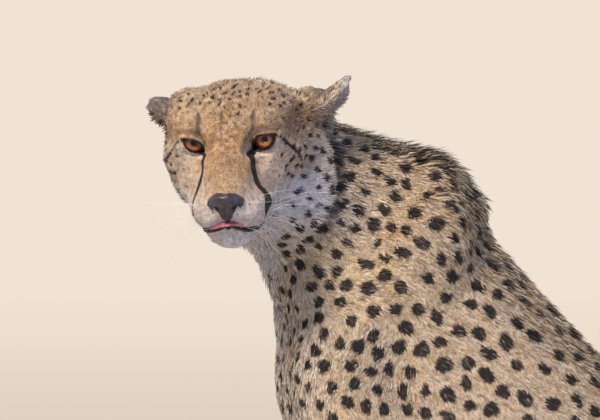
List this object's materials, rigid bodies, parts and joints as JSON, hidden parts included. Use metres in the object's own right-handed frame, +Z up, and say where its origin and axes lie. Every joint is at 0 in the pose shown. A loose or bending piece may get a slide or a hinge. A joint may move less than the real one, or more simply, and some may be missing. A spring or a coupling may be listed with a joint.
{
  "type": "cheetah figure",
  "caption": "Life-size sitting cheetah looking over its left shoulder, a still model of the whole animal that rests on its paws and haunches.",
  "frame": {"origin": "on the floor, below the middle of the box round the whole animal", "axes": "-Y is the way the chest faces, +X is the animal's left, where its face looks, +Z is up"},
  "size_m": [0.5674, 0.945, 0.8507],
  "materials": {
    "coat": "short dense fur, matt",
    "nose_leather": "damp, finely pebbled",
    "eye": "wet and clear",
    "tongue": "moist"
  },
  "bodies": {
    "root": {"head": "coat", "neck": "coat", "trunk": "coat", "foreleg_left": "coat", "foreleg_right": "coat", "forepaw_left": "coat", "forepaw_right": "coat", "hindleg_left": "coat", "hindleg_right": "coat", "hindfoot_left": "coat", "hindfoot_right": "coat", "tail_base": "coat", "tail_middle": "coat", "tail_tip": "coat", "ear_left": "coat", "ear_right": "coat", "eye_left": "eye", "eye_right": "eye", "nose": "nose_leather", "tongue": "tongue"}
  },
  "joints": []
}
